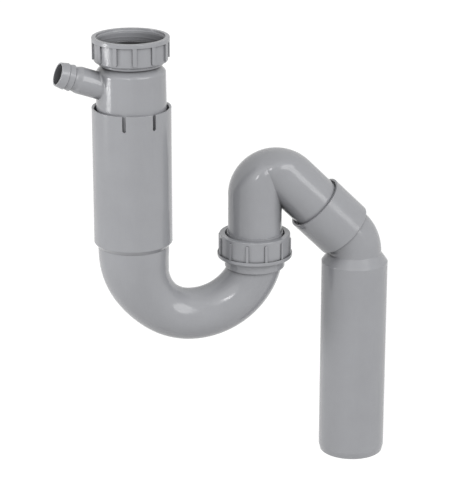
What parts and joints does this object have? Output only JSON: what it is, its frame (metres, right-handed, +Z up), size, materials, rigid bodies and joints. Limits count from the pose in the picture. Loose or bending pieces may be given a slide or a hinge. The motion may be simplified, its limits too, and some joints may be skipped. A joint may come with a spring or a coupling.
{
  "type": "sink trap",
  "caption": "Height-adjustable tubular sink trap with ribbed union nuts, hose nozzle, U-bend, swan neck and long outlet elbow.",
  "frame": {"origin": "centre of the inlet nut's thread at its upper end, on the inlet axis", "axes": "+Z up along the inlet axis towards the sink, +X towards the outlet leg, the trap lies in the XZ plane"},
  "size_m": [0.2504, 0.0576, 0.3343],
  "materials": {
    "grey_plastic": "satin moulded polypropylene",
    "black_rubber": "matt moulded rubber"
  },
  "bodies": {
    "inlet_nut": {"inlet_union_nut": "grey_plastic"},
    "inlet": {"inlet_body": "grey_plastic", "inlet_gasket": "black_rubber"},
    "tube_seal": {"telescope_seal": "black_rubber"},
    "trap": {"u_bend": "grey_plastic"},
    "wedge_seal": {"lower_seal": "black_rubber"},
    "swan_neck": {"upper_bend": "grey_plastic"},
    "thrust_ring": {"slip_ring": "grey_plastic"},
    "clamp_nut": {"lower_union_nut": "grey_plastic"},
    "elbow_seal": {"outlet_seal": "black_rubber"},
    "elbow": {"outlet_elbow": "grey_plastic"}
  },
  "joints": [
    {"name": "inlet_nut_turn", "type": "hinge", "parent": "inlet_nut", "child": "inlet", "pos_m": [0, 0, 0], "axis": [0, 0, 1], "continuous": true},
    {"name": "trap_swivel", "type": "hinge", "parent": "inlet", "child": "tube_seal", "pos_m": [0, 0, -0.131], "axis": [0, 0, 1], "continuous": true},
    {"name": "trap_height", "type": "slide", "parent": "tube_seal", "child": "trap", "axis": [0, 0, -1], "range_m": [-0.007, 0.05]},
    {"name": "neck_swing", "type": "hinge", "parent": "trap", "child": "wedge_seal", "pos_m": [0.0914, 0, -0.16], "axis": [0, 0, 1], "range_deg": [-120, 120]},
    {"name": "neck_insertion", "type": "slide", "parent": "wedge_seal", "child": "swan_neck", "axis": [0, 0, 1], "range_m": [0, 0.008]},
    {"name": "clamp_nut_rise", "type": "slide", "parent": "trap", "child": "thrust_ring", "axis": [0, 0, 1], "range_m": [0, 0.00578]},
    {"name": "clamp_nut_turn", "type": "hinge", "parent": "thrust_ring", "child": "clamp_nut", "pos_m": [0.0914, 0, -0.16], "axis": [0, 0, 1], "range_deg": [0, 900]},
    {"name": "elbow_insertion", "type": "slide", "parent": "swan_neck", "child": "elbow_seal", "axis": [0.7071, 0, -0.7071], "range_m": [-0.003, 0.01]},
    {"name": "elbow_turn", "type": "hinge", "parent": "elbow_seal", "child": "elbow", "pos_m": [0.1182, 0, -0.1124], "axis": [0.7071, 0, -0.7071], "continuous": true}
  ],
  "couplings": [
    {"joint": "clamp_nut_rise", "follows": "clamp_nut_turn", "m_per_rad": 0.00036749}
  ]
}
